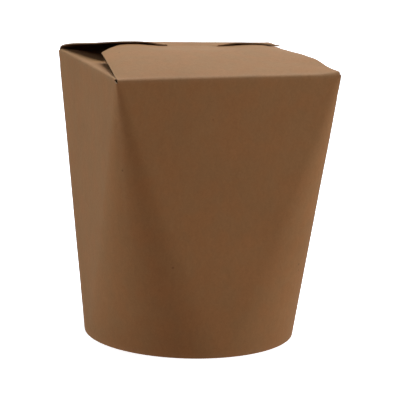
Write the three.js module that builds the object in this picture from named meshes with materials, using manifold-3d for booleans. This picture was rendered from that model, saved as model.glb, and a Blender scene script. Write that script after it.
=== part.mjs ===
// A shut noodle carton of plain kraft board, about 750 ml, with a round base and a rectangular top.
// The board wall starts as a circle at the base and ends in four straight folds. Two side flaps fold in
// and slope down, then the front and back flaps close over them and lock with a tongue in a slot.
// Millimetres, +Z up. The origin is the centre of the base, on the table; the front panel faces -Y.

import * as THREE from "three";
import { mergeVertices } from "three/addons/utils/BufferGeometryUtils.js";
import Module from "manifold-3d";

const wasm = await Module();
wasm.setup();

// Driving dimensions of the carton
const FOLD_HEIGHT = 110;
const TOP_WIDTH = 90;
const TOP_DEPTH = 84.5;
const BASE_DIAMETER = 84.5;
const BOARD = 0.5;
const WALL_THICKNESS = 0.62;
const FOLD_RADIUS = 1;
const CORNER_RADIUS = 0.8;
const LEAST_CORNER_RADIUS = 0.2;
const CORNER_STEPS = 20;

// The base: a hem of folded board round a disc that sits above the table
const HEM_THICKNESS = 1.6;
const BASE_RECESS = 6.4;
const DISC_THICKNESS = 0.6;
const DISC_CROWN = 0.5;
const DISC_FLAT_FROM = 0.8;
const PIECE_GAP = 0.3;

// The glued lap that closes the wall: the back panel's cut edge lies over a tab beside the right-hand corner
const LAP_EDGE_ANGLE = 47;
const LAP_WIDTH = 12;
const LAP_RAMP = 3;
const LAP_BOTTOM = 1;

// The side flaps, and the hollow above them, which is open from each side as far in as the lid's filling
const SIDE_FLAP_SLOPE = THREE.MathUtils.degToRad(9);
const SIDE_FLAP_REACH = 43.5;
const SIDE_FLAP_TAPER = 6;
const LID_HOLLOW = 8;
const FILLING_HALF_WIDTH = 22;
const SIDE_FOLD_INSET = 1.7;

// The front flap: tapered sides up to its tips, then one wide arc. It springs up from its fold to a ridge
// that tilts down to the right, dips where the lock holds it, and rolls down under the back flap.
const FLAP_FOLD_INSET = 0.9;
const FRONT_TAPER = 0.112;
const FLAP_HALF_WIDTH = 41;
const FRONT_TIP_REACH = 38.4;
const FRONT_ARC_RADIUS = 50.8;
const FRONT_BOARD_LENGTH = 58.8;
const FRONT_RIDGE_REACH = 48;
const FRONT_RIDGE = 5.98;
const FRONT_TILT = 0.028;
const FRONT_CLIMB = 1.7;
const FRONT_LEFT_SAG = 0.37;
const FRONT_RIGHT_SAG = 0.34;
const FRONT_LOCK_DIP = 1.1;
const FRONT_LOCK_HALF = 20;
const FRONT_DIP_LENGTH = 10;
const FRONT_ROLL = 0.012;

// The back flap: shoulders that lie over the front flap, and a tongue. It springs up more sharply at its
// fold, and then climbs almost straight to the lock.
const BACK_TAPER = 0.16;
const BACK_SHOULDER_REACH = 36.75;
const BACK_CORNER_RADIUS = 2.5;
const BACK_RIDGE_REACH = 48;
const BACK_RIDGE = 6.78;
const BACK_TILT = 0.0286;
const BACK_CLIMB = 1.25;
const BACK_SPRING = 0.14;
const BACK_SPRING_LENGTH = 1.5;
const BACK_LEFT_SAG = 0.75;
const BACK_LEFT_SAG_WIDTH = 9;
const BACK_RIGHT_SAG = 1.6;
const BACK_RIGHT_SAG_WIDTH = 8;
const BACK_SAG_START = 7;
const BACK_LOCK_DIP = 1.7;
const BACK_LOCK_HALF = 15.3;
const BACK_LOCK_REACH = 38;
const BACK_DIP_LENGTH = 6;
const TONGUE_HALF_WIDTH = 10;
const TONGUE_END_HALF_WIDTH = 7.5;
const TONGUE_LENGTH = 7;
const TONGUE_RELIEF = 2;
const RELIEF_WIDTH = 0.6;

// The slot in the front flap, where the tongue dives under it
const SLOT_Y = 5.8;
const SLOT_WIDTH = 1.6;
const SLOT_HALF_LENGTH = 11;
const LIP_LIFT = 0.35;
const LIP_PRESS = 0.55;
const LIP_LENGTH = 5;
const LIP_SOFTNESS = 0.8;
const TONGUE_DIVE = 0.62;
const DIVE_SOFTNESS = 0.7;
const FLAP_CLEARANCE = 0.15;

// How far a trimming shape runs past what it trims, and the size below which the joined edges are merged
const TRIM_MARGIN = 1;
const MERGE_SIZE = 0.001;

const ROUND_STEPS = 72;

// Joining and cutting closed geometries

function solidOf(geometry) {
  const bare = geometry.index ? geometry.toNonIndexed() : geometry.clone();
  bare.deleteAttribute("normal");
  bare.deleteAttribute("uv");
  const merged = mergeVertices(bare, 1e-4);
  return new wasm.Manifold(
    new wasm.Mesh({
      numProp: 3,
      vertProperties: new Float32Array(merged.attributes.position.array),
      triVerts: new Uint32Array(merged.index.array),
    }),
  );
}

function geometryOf(solid) {
  const { vertProperties, triVerts } = solid.getMesh();
  const geometry = new THREE.BufferGeometry();
  geometry.setAttribute("position", new THREE.BufferAttribute(new Float32Array(vertProperties), 3));
  geometry.setIndex(new THREE.BufferAttribute(new Uint32Array(triVerts), 1));
  geometry.computeVertexNormals();
  return geometry;
}

// A closed slab between an outer and an inner grid of points, both [row][column].
function slab(outer, inner) {
  const rows = outer.length;
  const columns = outer[0].length;
  const points = [...outer.flat(), ...inner.flat()];
  const index = [];
  const at = (row, column, layer) => layer * rows * columns + row * columns + column;
  const quad = (a, b, c, d) => index.push(a, b, c, a, c, d);
  for (let row = 0; row < rows - 1; row++) {
    for (let column = 0; column < columns - 1; column++) {
      quad(at(row, column, 0), at(row, column + 1, 0), at(row + 1, column + 1, 0), at(row + 1, column, 0));
      quad(at(row, column, 1), at(row + 1, column, 1), at(row + 1, column + 1, 1), at(row, column + 1, 1));
    }
  }
  for (let column = 0; column < columns - 1; column++) {
    quad(at(0, column, 0), at(0, column, 1), at(0, column + 1, 1), at(0, column + 1, 0));
    quad(at(rows - 1, column, 0), at(rows - 1, column + 1, 0), at(rows - 1, column + 1, 1), at(rows - 1, column, 1));
  }
  for (let row = 0; row < rows - 1; row++) {
    quad(at(row, 0, 0), at(row + 1, 0, 0), at(row + 1, 0, 1), at(row, 0, 1));
    quad(at(row, columns - 1, 0), at(row, columns - 1, 1), at(row + 1, columns - 1, 1), at(row + 1, columns - 1, 0));
  }
  return new THREE.BufferGeometry().setFromPoints(points).setIndex(index);
}

// A closed loft through convex rings of equal length, from the lowest up.
function loft(rings) {
  const count = rings[0].length;
  const points = rings.flat();
  const index = [];
  for (let ring = 0; ring < rings.length - 1; ring++) {
    for (let i = 0; i < count; i++) {
      const next = (i + 1) % count;
      const low = ring * count;
      index.push(low + i, low + next, low + count + next, low + i, low + count + next, low + count + i);
    }
  }
  const top = (rings.length - 1) * count;
  for (let i = 1; i < count - 1; i++) {
    index.push(0, i + 1, i, top, top + i, top + i + 1);
  }
  return new THREE.BufferGeometry().setFromPoints(points).setIndex(index);
}

// An upright prism over a flat outline, tall enough to trim anything near the lid.
function trimPrism(shape) {
  const reach = 40;
  const geometry = new THREE.ExtrudeGeometry(shape, { depth: reach, bevelEnabled: false, curveSegments: 28 });
  return geometry.translate(0, 0, FOLD_HEIGHT - reach / 2);
}

// The wall: its section shrinks from the top rectangle to the base circle, and its corner radius grows with it

function section(z) {
  const fall = (FOLD_HEIGHT - z) / FOLD_HEIGHT;
  const mix = THREE.MathUtils.lerp;
  return {
    halfX: mix(TOP_WIDTH / 2, BASE_DIAMETER / 2, fall),
    halfY: mix(TOP_DEPTH / 2, BASE_DIAMETER / 2, fall),
    radius: mix(CORNER_RADIUS, BASE_DIAMETER / 2, fall),
  };
}

function wallRing(z, inset) {
  const { halfX, halfY, radius } = section(z);
  const ring = [];
  for (let corner = 0; corner < 4; corner++) {
    const signX = corner === 0 || corner === 3 ? 1 : -1;
    const signY = corner < 2 ? 1 : -1;
    for (let step = 0; step <= CORNER_STEPS; step++) {
      const angle = (corner + step / CORNER_STEPS) * (Math.PI / 2);
      const reach = Math.max(radius - inset, LEAST_CORNER_RADIUS);
      const x = signX * (halfX - inset - reach) + reach * Math.cos(angle);
      const y = signY * (halfY - inset - reach) + reach * Math.sin(angle);
      ring.push(new THREE.Vector3(x, y, z));
    }
  }
  return ring;
}

// The point of the wall at an angle round the axis, moved out by an offset.
function wallPoint(angle, z, offset) {
  const { halfX, halfY, radius } = section(z);
  const across = Math.abs(Math.cos(angle));
  const along = Math.abs(Math.sin(angle));
  const centreX = halfX - radius;
  const centreY = halfY - radius;
  const middle = across * centreX + along * centreY;
  const cornerSquared = middle ** 2 - centreX ** 2 - centreY ** 2 + radius ** 2;
  let reach = middle + Math.sqrt(Math.max(cornerSquared, 0));
  if (halfX * along <= centreY * across) reach = halfX / across;
  if (halfY * across <= centreX * along) reach = halfY / along;
  reach += offset;
  return new THREE.Vector3(reach * Math.cos(angle), reach * Math.sin(angle), z);
}

// The raised strip where the back panel lies over the tab: one cut edge, and a ramp at its other side.
function glueLap() {
  const lapTop = FOLD_HEIGHT - FOLD_RADIUS;
  const levels = [];
  const levelSteps = 10;
  for (let step = 0; step <= levelSteps; step++) {
    levels.push(THREE.MathUtils.lerp(LAP_BOTTOM, lapTop, step / levelSteps));
  }
  const raised = [1, 0.75, 0.5, 0.25, 0].map((share) => ({ distance: share * LAP_WIDTH, lift: BOARD }));
  const sunkEnd = { distance: LAP_WIDTH + LAP_RAMP, lift: -BOARD / 4 };
  const strip = [sunkEnd, ...raised];
  const edgeAngle = THREE.MathUtils.degToRad(LAP_EDGE_ANGLE);
  const grid = (lift) =>
    levels.map((z) =>
      strip.map((line) => {
        const edge = wallPoint(edgeAngle, z, 0);
        const turn = line.distance / Math.hypot(edge.x, edge.y);
        return wallPoint(edgeAngle + turn, z, lift(line));
      }),
    );
  const outer = grid((line) => line.lift);
  const inner = grid(() => -BOARD / 2);
  outer.forEach((row) => row.reverse());
  inner.forEach((row) => row.reverse());
  return slab(outer, inner);
}

// The lid: how high each flap rises above the level of its fold, at a point of the plan

const bell = (value, width) => Math.exp(-((value / width) ** 2));
const plateau = (value, width) => Math.exp(-((value / width) ** 4));

// The front flap springs up from its fold, higher on the left, and its outer edges sag.
function frontRise(x, y) {
  const reach = Math.max(y + TOP_DEPTH / 2, 0);
  const climb = 1 - (1 - Math.min(reach / FRONT_RIDGE_REACH, 1)) ** FRONT_CLIMB;
  const ridge = FRONT_RIDGE - FRONT_TILT * x;
  const aside = Math.abs(x) / FLAP_HALF_WIDTH;
  const share = Math.min(reach / FRONT_TIP_REACH, 1);
  const sag = x < 0 ? FRONT_LEFT_SAG * aside ** 4 : FRONT_RIGHT_SAG * aside ** 6 * share ** 3;
  const beyond = reach - FRONT_RIDGE_REACH;
  const lockDip = FRONT_LOCK_DIP * plateau(x, FRONT_LOCK_HALF) * bell(beyond, FRONT_DIP_LENGTH);
  const roll = FRONT_ROLL * Math.max(beyond, 0) ** 2;
  const nearSlot = bell(y - SLOT_Y, LIP_LENGTH) * plateau(x, SLOT_HALF_LENGTH);
  const lips = (y < SLOT_Y ? LIP_LIFT : LIP_PRESS) * nearSlot * Math.tanh((SLOT_Y - y) / LIP_SOFTNESS);
  return ridge * climb * (1 - sag) - lockDip - roll + lips;
}

// The back flap rises over the front one, highest on the left, dips where the lock holds it, and sags at
// both shoulders. Its tongue crosses the front flap at the slot.
function backRise(x, y) {
  const reach = Math.max(TOP_DEPTH / 2 - y, 0);
  const curve = (distance) => 1 - (1 - Math.min(distance / BACK_RIDGE_REACH, 1)) ** BACK_CLIMB;
  const spring = 1 - Math.exp(-reach / BACK_SPRING_LENGTH);
  const climb = THREE.MathUtils.lerp(curve(reach) / curve(BACK_SHOULDER_REACH), spring, BACK_SPRING);
  const lockDip = BACK_LOCK_DIP * plateau(x, BACK_LOCK_HALF) * bell(reach - BACK_LOCK_REACH, BACK_DIP_LENGTH);
  const leftSag = BACK_LEFT_SAG * bell(x + FLAP_HALF_WIDTH, BACK_LEFT_SAG_WIDTH);
  const rightSag = BACK_RIGHT_SAG * bell(x - FLAP_HALF_WIDTH, BACK_RIGHT_SAG_WIDTH);
  const sag = (leftSag + rightSag) * THREE.MathUtils.smoothstep(reach, BACK_SAG_START, BACK_SHOULDER_REACH);
  const free = (BACK_RIDGE - BACK_TILT * x) * climb - lockDip - sag;
  if (Math.abs(x) < TONGUE_HALF_WIDTH + RELIEF_WIDTH / 2 && y < SLOT_Y + TONGUE_RELIEF) {
    return frontRise(x, y) + TONGUE_DIVE * Math.tanh((y - SLOT_Y) / DIVE_SOFTNESS);
  }
  return reach > TOP_DEPTH / 4 ? Math.max(free, frontRise(x, y) + BOARD + FLAP_CLEARANCE) : free;
}

// The distances from the outer face of the wall, and the heights against the fold level, of the lines
// across a flap: down the wall, round the fold, then out to its end.
function foldPath(end, fineFrom, fineTo) {
  const startInWall = BOARD / 3;
  const path = [
    { out: startInWall, up: -FOLD_RADIUS - 2 * BOARD },
    { out: 0, up: -FOLD_RADIUS },
  ];
  const arcSteps = 4;
  for (let step = 1; step <= arcSteps; step++) {
    const angle = (step / arcSteps) * (Math.PI / 2);
    path.push({ out: FOLD_RADIUS * (1 - Math.cos(angle)), up: FOLD_RADIUS * (Math.sin(angle) - 1) });
  }
  const fineStep = 0.75;
  const coarseStep = 4;
  for (let out = 3 * FOLD_RADIUS; out < end; ) {
    path.push({ out, up: 0 });
    out += out >= fineFrom && out < fineTo ? fineStep : coarseStep;
  }
  path.push({ out: end, up: 0 });
  return path;
}

// The lines along a flap, closer together at both ends of the tongue.
function flapColumns() {
  const step = 4;
  const cutOverlap = 0.1;
  const last = step * Math.floor(TOP_WIDTH / 2 / step);
  const columns = [];
  for (let x = -last; x <= last; x += step) columns.push(x);
  const tongueEdge = TONGUE_HALF_WIDTH + RELIEF_WIDTH / 2;
  for (const side of [-1, 1]) {
    columns.push(side * (tongueEdge - cutOverlap), side * (tongueEdge + cutOverlap));
  }
  return columns.sort((a, b) => a - b);
}

// A flap as a curved board. turn puts it on its wall, and rise(x, y) lifts it.
function flapBoard(turn, path, rise) {
  const axis = new THREE.Vector3(0, 0, 1);
  const outer = path.map(({ out, up }) =>
    flapColumns().map((x) => {
      const point = new THREE.Vector3(x, out - TOP_DEPTH / 2, FOLD_HEIGHT + up);
      point.applyAxisAngle(axis, turn);
      point.z += rise(point.x, point.y) * Math.min(out / FOLD_RADIUS, 1);
      return point;
    }),
  );
  const last = (list) => list.length - 1;
  const inner = outer.map((row, r) =>
    row.map((point, c) => {
      const across = outer[r][Math.min(c + 1, last(row))].clone().sub(outer[r][Math.max(c - 1, 0)]);
      const along = outer[Math.min(r + 1, last(outer))][c].clone().sub(outer[Math.max(r - 1, 0)][c]);
      return point.clone().addScaledVector(across.cross(along).normalize(), -BOARD);
    }),
  );
  return solidOf(slab(outer, inner));
}

// The filling of the middle of the hollow, from below its floor up to the folds. It ends in the middle of
// the board's thickness, also round both folds.
function lidFilling() {
  const half = TOP_DEPTH / 2 - BOARD / 2;
  const radius = FOLD_RADIUS - BOARD / 2;
  const profile = new THREE.Shape();
  profile.moveTo(-half, -LID_HOLLOW - BOARD);
  profile.lineTo(half, -LID_HOLLOW - BOARD);
  profile.absarc(half - radius, -FOLD_RADIUS, radius, 0, Math.PI / 2, false);
  profile.absarc(radius - half, -FOLD_RADIUS, radius, Math.PI / 2, Math.PI, false);
  profile.closePath();
  const length = 2 * FILLING_HALF_WIDTH;
  const bar = new THREE.ExtrudeGeometry(profile, { depth: length, bevelEnabled: false, curveSegments: 4 });
  bar.rotateX(Math.PI / 2).rotateZ(Math.PI / 2).translate(-FILLING_HALF_WIDTH, 0, FOLD_HEIGHT);
  return solidOf(bar);
}

// The plan outline of the front flap, with the slot as a hole.
function frontFlapOutline() {
  const foldY = -TOP_DEPTH / 2;
  const foldHalf = TOP_WIDTH / 2 - FLAP_FOLD_INSET;
  const tipHalf = foldHalf - FRONT_TAPER * FRONT_TIP_REACH;
  const arcCentre = FRONT_TIP_REACH - Math.sqrt(FRONT_ARC_RADIUS ** 2 - tipHalf ** 2);
  const arcStart = Math.acos(tipHalf / FRONT_ARC_RADIUS);
  const shape = new THREE.Shape();
  shape.moveTo(-foldHalf, foldY - TRIM_MARGIN);
  shape.lineTo(foldHalf, foldY - TRIM_MARGIN);
  shape.lineTo(foldHalf, foldY + FOLD_RADIUS);
  shape.lineTo(tipHalf, foldY + FRONT_TIP_REACH);
  shape.absarc(0, foldY + arcCentre, FRONT_ARC_RADIUS, arcStart, Math.PI - arcStart, false);
  shape.lineTo(-foldHalf, foldY + FOLD_RADIUS);
  shape.closePath();
  const slot = new THREE.Path();
  slot.moveTo(-SLOT_HALF_LENGTH, SLOT_Y - SLOT_WIDTH / 2);
  slot.lineTo(-SLOT_HALF_LENGTH, SLOT_Y + SLOT_WIDTH / 2);
  slot.lineTo(SLOT_HALF_LENGTH, SLOT_Y + SLOT_WIDTH / 2);
  slot.lineTo(SLOT_HALF_LENGTH, SLOT_Y - SLOT_WIDTH / 2);
  slot.closePath();
  shape.holes.push(slot);
  return shape;
}

// The plan outline of the back flap as seen from its own side: shoulders, two relief cuts and the tongue.
function backFlapOutline() {
  const foldY = -TOP_DEPTH / 2;
  const foldHalf = TOP_WIDTH / 2 - FLAP_FOLD_INSET;
  const shoulderY = foldY + BACK_SHOULDER_REACH;
  const sideEnd = BACK_SHOULDER_REACH - BACK_CORNER_RADIUS;
  const cornerX = foldHalf - BACK_TAPER * sideEnd - BACK_CORNER_RADIUS;
  const cutX = TONGUE_HALF_WIDTH + RELIEF_WIDTH;
  const cutY = shoulderY - TONGUE_RELIEF;
  const tongueY = shoulderY + TONGUE_LENGTH;
  const shape = new THREE.Shape();
  shape.moveTo(-foldHalf, foldY - TRIM_MARGIN);
  shape.lineTo(foldHalf, foldY - TRIM_MARGIN);
  shape.lineTo(foldHalf, foldY + FOLD_RADIUS);
  shape.absarc(cornerX, foldY + sideEnd, BACK_CORNER_RADIUS, 0, Math.PI / 2, false);
  shape.lineTo(cutX, shoulderY);
  shape.lineTo(cutX, cutY);
  shape.lineTo(TONGUE_HALF_WIDTH, cutY);
  shape.lineTo(TONGUE_HALF_WIDTH, shoulderY);
  shape.lineTo(TONGUE_END_HALF_WIDTH, tongueY);
  shape.lineTo(-TONGUE_END_HALF_WIDTH, tongueY);
  shape.lineTo(-TONGUE_HALF_WIDTH, shoulderY);
  shape.lineTo(-TONGUE_HALF_WIDTH, cutY);
  shape.lineTo(-cutX, cutY);
  shape.lineTo(-cutX, shoulderY);
  shape.absarc(-cornerX, foldY + sideEnd, BACK_CORNER_RADIUS, Math.PI / 2, Math.PI, false);
  shape.lineTo(-foldHalf, foldY + FOLD_RADIUS);
  shape.closePath();
  return shape;
}

// The space round the wall below its folds, from the middle of the wall's thickness outwards.
function outsideTheWall() {
  const foldStart = FOLD_HEIGHT - FOLD_RADIUS - BOARD / 2;
  const depth = 2 * LID_HOLLOW;
  const around = new THREE.BoxGeometry(2 * TOP_WIDTH, 2 * TOP_DEPTH, depth).translate(0, 0, foldStart - depth / 2);
  const low = wallRing(foldStart - depth - TRIM_MARGIN, BOARD / 2);
  const within = loft([low, wallRing(foldStart + TRIM_MARGIN, BOARD / 2)]);
  return solidOf(around).subtract(solidOf(within));
}

// A side flap is the sloping top of the shut pack under the lid, so it is solid down to the hollow's floor.
function sideFlap(turn) {
  const floor = -LID_HOLLOW - BOARD;
  const profile = new THREE.Shape();
  profile.moveTo(BOARD / 2, floor);
  profile.lineTo(BOARD / 2, -FOLD_RADIUS - BOARD);
  profile.lineTo(0, -FOLD_RADIUS);
  profile.absarc(FOLD_RADIUS, -FOLD_RADIUS, FOLD_RADIUS, Math.PI, Math.PI / 2 - SIDE_FLAP_SLOPE, true);
  profile.lineTo(SIDE_FLAP_REACH, -(SIDE_FLAP_REACH - FOLD_RADIUS) * Math.tan(SIDE_FLAP_SLOPE));
  profile.lineTo(SIDE_FLAP_REACH, floor);
  profile.closePath();
  const length = TOP_DEPTH;
  const prism = new THREE.ExtrudeGeometry(profile, { depth: length, bevelEnabled: false, curveSegments: 6 });
  prism.rotateX(Math.PI / 2).translate(-TOP_WIDTH / 2, length / 2, FOLD_HEIGHT);

  const foldHalf = TOP_DEPTH / 2 - SIDE_FOLD_INSET;
  const endHalf = foldHalf - SIDE_FLAP_TAPER;
  const plan = new THREE.Shape();
  plan.moveTo(-TOP_WIDTH / 2 - TRIM_MARGIN, -foldHalf);
  plan.lineTo(-TOP_WIDTH / 2 + FOLD_RADIUS, -foldHalf);
  plan.lineTo(-TOP_WIDTH / 2 + SIDE_FLAP_REACH, -endHalf);
  plan.lineTo(-TOP_WIDTH / 2 + SIDE_FLAP_REACH, endHalf);
  plan.lineTo(-TOP_WIDTH / 2 + FOLD_RADIUS, foldHalf);
  plan.lineTo(-TOP_WIDTH / 2 - TRIM_MARGIN, foldHalf);
  plan.closePath();
  const flap = solidOf(prism.rotateZ(turn)).intersect(solidOf(trimPrism(plan).rotateZ(turn)));
  return flap.subtract(outsideTheWall());
}

// The carton: one piece of board, with the closed inside filled

function cartonGeometry() {
  const wallTop = FOLD_HEIGHT - FOLD_RADIUS;
  const shell = solidOf(loft([wallRing(0, 0), wallRing(wallTop / 2, 0), wallRing(wallTop, 0)]));
  const hollowFloor = wallRing(FOLD_HEIGHT - LID_HOLLOW, WALL_THICKNESS);
  const lidHollow = solidOf(loft([hollowFloor, wallRing(FOLD_HEIGHT + TRIM_MARGIN, WALL_THICKNESS)]));
  const recessRadius = BASE_DIAMETER / 2 - HEM_THICKNESS;
  const recess = new THREE.CylinderGeometry(recessRadius, recessRadius, 2 * BASE_RECESS, ROUND_STEPS);
  const body = shell.subtract(lidHollow).subtract(solidOf(recess.rotateX(Math.PI / 2)));

  const fineBefore = 8;
  const fineAfter = 4;
  const slotReach = SLOT_Y + TOP_DEPTH / 2;
  const frontPath = foldPath(FRONT_BOARD_LENGTH, slotReach - fineBefore, slotReach + fineAfter);
  const frontFlap = flapBoard(0, frontPath, frontRise).intersect(solidOf(trimPrism(frontFlapOutline())));

  const backEnd = BACK_SHOULDER_REACH + TONGUE_LENGTH + TRIM_MARGIN;
  const backPath = foldPath(backEnd, BACK_SHOULDER_REACH - fineBefore, BACK_SHOULDER_REACH + fineAfter);
  const backOutline = trimPrism(backFlapOutline()).rotateZ(Math.PI);
  const backFlap = flapBoard(Math.PI, backPath, backRise).intersect(solidOf(backOutline));

  const carton = body
    .add(solidOf(glueLap()))
    .add(sideFlap(0))
    .add(sideFlap(Math.PI))
    .add(lidFilling())
    .add(frontFlap)
    .add(backFlap);
  return geometryOf(carton.simplify(MERGE_SIZE));
}

// The base disc, crowned a little upwards, inside the hem
function baseDiscGeometry() {
  const radius = BASE_DIAMETER / 2 - HEM_THICKNESS - PIECE_GAP;
  const edgeTop = BASE_RECESS - PIECE_GAP - DISC_CROWN;
  const profile = [
    new THREE.Vector2(0, edgeTop - DISC_THICKNESS + DISC_CROWN),
    new THREE.Vector2(radius * DISC_FLAT_FROM, edgeTop - DISC_THICKNESS),
    new THREE.Vector2(radius, edgeTop - DISC_THICKNESS),
    new THREE.Vector2(radius, edgeTop),
    new THREE.Vector2(radius * DISC_FLAT_FROM, edgeTop),
    new THREE.Vector2(0, edgeTop + DISC_CROWN),
  ];
  return new THREE.LatheGeometry(profile, ROUND_STEPS).rotateX(Math.PI / 2);
}

const kraftBoard = new THREE.MeshStandardMaterial({ name: "kraft_board", color: 0x9a7350, roughness: 0.8, metalness: 0 });
const innerBoard = new THREE.MeshStandardMaterial({ name: "inner_board", color: 0x8a6a4a, roughness: 0.75, metalness: 0 });

const carton = new THREE.Mesh(cartonGeometry(), kraftBoard);
carton.name = "carton";

const baseDisc = new THREE.Mesh(baseDiscGeometry(), innerBoard);
baseDisc.name = "base_disc";

const noodleCarton = new THREE.Group();
noodleCarton.add(carton, baseDisc);

export default noodleCarton;
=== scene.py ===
"""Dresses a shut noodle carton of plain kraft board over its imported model.

The carton is folded from one blank, so its wall, hem and four flaps are one sheet of board here: a
grid that is laid out flat, freed at its corners and then folded up. A separate disc closes the base.
Sizes are in millimetres inside the classes, and become metres when a piece is finished.
"""

from __future__ import annotations

import logging
import math
from dataclasses import dataclass, field
from enum import Enum

import bmesh
import bpy
from mathutils import Matrix, Vector, noise

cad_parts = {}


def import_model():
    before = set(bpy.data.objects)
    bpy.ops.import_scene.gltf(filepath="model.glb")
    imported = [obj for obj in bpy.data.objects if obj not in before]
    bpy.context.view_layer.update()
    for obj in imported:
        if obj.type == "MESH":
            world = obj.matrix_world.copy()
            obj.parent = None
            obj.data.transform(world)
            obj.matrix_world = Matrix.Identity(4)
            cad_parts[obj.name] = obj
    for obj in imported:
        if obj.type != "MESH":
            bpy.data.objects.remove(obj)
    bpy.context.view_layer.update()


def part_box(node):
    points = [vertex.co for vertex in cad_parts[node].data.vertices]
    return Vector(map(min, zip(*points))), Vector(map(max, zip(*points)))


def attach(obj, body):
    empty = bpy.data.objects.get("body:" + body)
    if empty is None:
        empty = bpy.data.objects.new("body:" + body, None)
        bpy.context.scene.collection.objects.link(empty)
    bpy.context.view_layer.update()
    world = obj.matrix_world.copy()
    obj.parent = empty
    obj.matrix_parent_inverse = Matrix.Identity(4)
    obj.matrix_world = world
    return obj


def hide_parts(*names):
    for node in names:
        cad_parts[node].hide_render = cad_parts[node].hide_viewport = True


LOG = logging.getLogger("noodle_carton")
MM = 0.001
BODY = "root"
# This layer makes the board paler along its folds, the tops of its corners and its turned base edge: partly
# scuffed board, partly a painted highlight.
WEAR_AND_HIGHLIGHT_LAYER = "fold_wear_and_highlight"
SPUN_MERGE = 0.002
STEP_SLACK = 1e-6
SHARP_EDGE = math.radians(42.0)


class Panel(Enum):
    """The four panels of the wall, by the way that they face."""

    RIGHT = 0
    BACK = 1
    LEFT = 2
    FRONT = 3

    @property
    def turn(self) -> float:
        """The angle from the front panel's outward direction to this panel's."""
        return {Panel.FRONT: 0.0, Panel.RIGHT: 0.5, Panel.BACK: 1.0, Panel.LEFT: 1.5}[self] * math.pi

    @property
    def is_side(self) -> bool:
        """Whether this is the right or the left panel."""
        return self in (Panel.RIGHT, Panel.LEFT)


class BoardFace(Enum):
    """The material slots of a piece of board."""

    OUTER = 0
    INNER = 1
    CUT_EDGE = 2


def bell(value: float, width: float) -> float:
    """A smooth hump of height 1 that is wide by its width."""
    return math.exp(-((value / width) ** 2))


def plateau(value: float, width: float) -> float:
    """A flat-topped hump of height 1."""
    return math.exp(-((value / width) ** 4))


def mix(low: float, high: float, share: float) -> float:
    """The value at a share of the way from low to high."""
    return low + (high - low) * share


def smooth(low: float, high: float, value: float) -> float:
    """A smooth step from 0 at low to 1 at high."""
    share = min(max((value - low) / (high - low), 0.0), 1.0)
    return share * share * (3.0 - 2.0 * share)


def spaced(low: float, high: float, step: float) -> list[float]:
    """Even stops from low up to and with high, at most a step apart.

    Args:
        low: The first stop.
        high: The last stop.
        step: The widest spacing.

    Returns:
        The stops, both ends included.
    """
    count = max(1, math.ceil((high - low) / step - STEP_SLACK))
    return [mix(low, high, i / count) for i in range(count + 1)]


def spun(section: list[tuple[float, float]], steps: int, is_ring: bool) -> bmesh.types.BMesh:
    """Spins a section once round the axis.

    The spin leaves its faces in an order that differs from run to run, so they are sorted by place.

    Args:
        section: Its points, as distances from the axis and heights.
        steps: The number of steps round the axis.
        is_ring: Whether the section's last point joins its first one.

    Returns:
        The closed shell.
    """
    mesh = bmesh.new()
    verts = [mesh.verts.new((out, 0.0, z)) for out, z in section]
    ends = verts[1:] + verts[:1] if is_ring else verts[1:]
    edges = [mesh.edges.new(pair) for pair in zip(verts, ends)]
    bmesh.ops.spin(
        mesh,
        geom=verts + edges,
        cent=(0.0, 0.0, 0.0),
        axis=(0.0, 0.0, 1.0),
        angle=math.tau,
        steps=steps,
        use_merge=True,
    )
    bmesh.ops.remove_doubles(mesh, verts=mesh.verts[:], dist=SPUN_MERGE)
    centres = (
        (mesh.verts, lambda vertex: vertex.co[:]),
        (mesh.edges, lambda edge: (edge.verts[0].co + edge.verts[1].co)[:]),
        (mesh.faces, lambda face: face.calc_center_median()[:]),
    )
    for elements, centre in centres:
        ranks = {element: rank for rank, element in enumerate(sorted(elements, key=centre))}
        elements.sort(key=ranks.get)
    return mesh


def in_metres(mesh: bmesh.types.BMesh, is_closed: bool) -> bmesh.types.BMesh:
    """Scales a mesh from millimetres to metres.

    Args:
        mesh: The mesh, which is changed.
        is_closed: Whether it is a closed shell, whose faces are turned outwards.

    Returns:
        The same mesh.
    """
    if is_closed:
        bmesh.ops.recalc_face_normals(mesh, faces=mesh.faces[:])
    bmesh.ops.scale(mesh, vec=(MM, MM, MM), verts=mesh.verts[:])
    return mesh


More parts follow.
